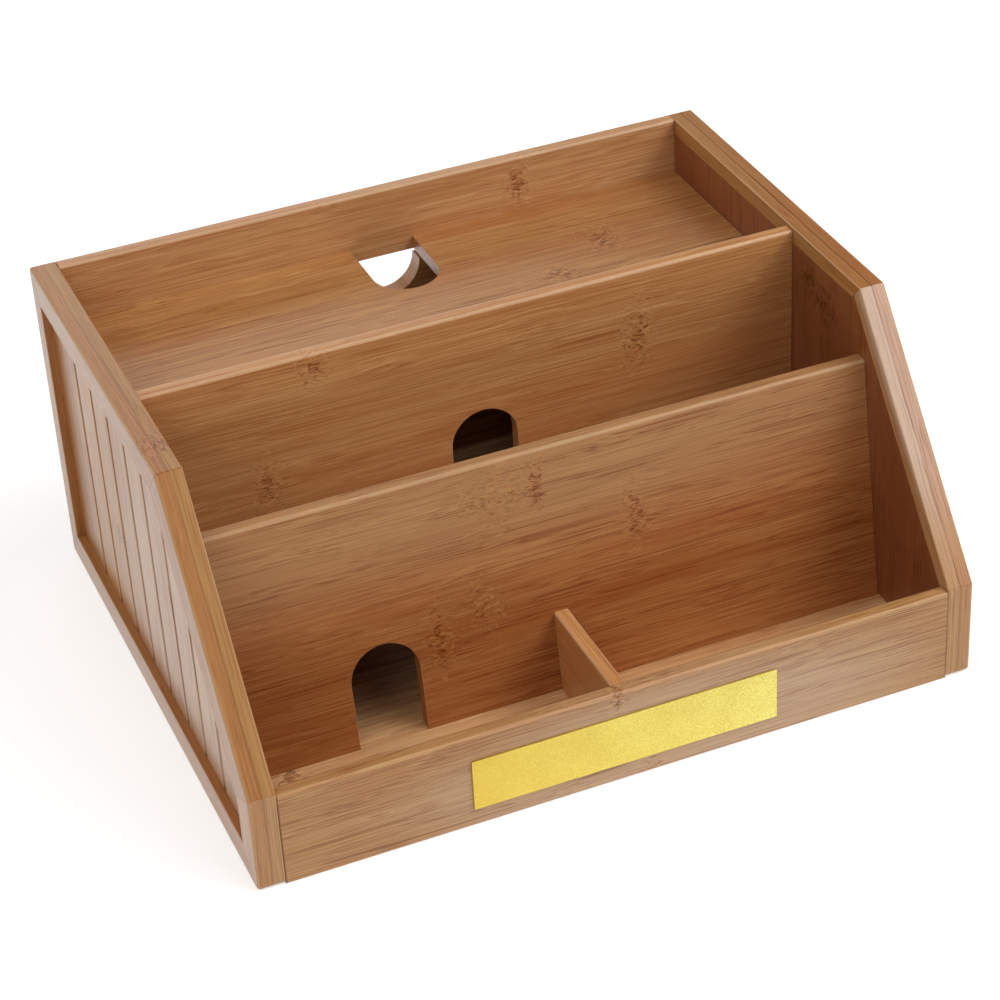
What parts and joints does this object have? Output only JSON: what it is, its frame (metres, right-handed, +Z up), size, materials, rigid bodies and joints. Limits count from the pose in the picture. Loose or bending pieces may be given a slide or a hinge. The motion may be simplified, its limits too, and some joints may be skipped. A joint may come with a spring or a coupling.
{
  "type": "charging station organizer",
  "caption": "Bamboo desktop charging organizer with a top tray, stepped device slots, cable arches, beaded side panels and a fold-down rear access door.",
  "frame": {"origin": "middle of the organizer's footprint, on the surface that it stands on", "axes": "+Z up, +X to the right seen from the front, front towards -Y"},
  "size_m": [0.216, 0.1796, 0.101],
  "materials": {
    "bamboo_frame": "satin lacquered carbonised bamboo, edge grain",
    "bamboo_board": "satin lacquered carbonised bamboo, flat grain",
    "bamboo_panel": "satin lacquered beaded bamboo panel",
    "beech_dowel": "plain",
    "plate_gold": "fine grained matt gold",
    "hinge_brass": "polished",
    "screw_brass": "polished",
    "magnet_nickel": "nickel plated",
    "strike_steel": "plain"
  },
  "bodies": {
    "case": {"back_board": "bamboo_board", "base_board": "bamboo_board", "base_hinge_screws": "screw_brass", "catch_magnets": "magnet_nickel", "front_board": "bamboo_board", "front_divider": "bamboo_board", "hinge_pins": "hinge_brass", "left_back_stile": "bamboo_frame", "left_beaded_panel": "bamboo_panel", "left_bottom_rail": "bamboo_frame", "left_dowels": "beech_dowel", "left_front_stile": "bamboo_frame", "left_hinge_base_leaf": "hinge_brass", "left_slope_rail": "bamboo_frame", "left_stop_cleat": "bamboo_board", "left_top_rail": "bamboo_frame", "nameplate": "plate_gold", "rear_divider": "bamboo_board", "right_back_stile": "bamboo_frame", "right_beaded_panel": "bamboo_panel", "right_bottom_rail": "bamboo_frame", "right_dowels": "beech_dowel", "right_front_stile": "bamboo_frame", "right_hinge_base_leaf": "hinge_brass", "right_slope_rail": "bamboo_frame", "right_stop_cleat": "bamboo_board", "right_top_rail": "bamboo_frame", "short_partition": "bamboo_board", "slot_floor": "bamboo_board", "tray_deck": "bamboo_board"},
    "door": {"rear_door": "bamboo_board", "left_hinge_door_leaf": "hinge_brass", "right_hinge_door_leaf": "hinge_brass", "door_hinge_screws": "screw_brass", "strike_plates": "strike_steel"}
  },
  "joints": [
    {"name": "rear_door_hinge", "type": "hinge", "parent": "case", "child": "door", "pos_m": [0, 0.0882, 0.0049], "axis": [-1, 0, 0], "range_deg": [0, 90]}
  ]
}
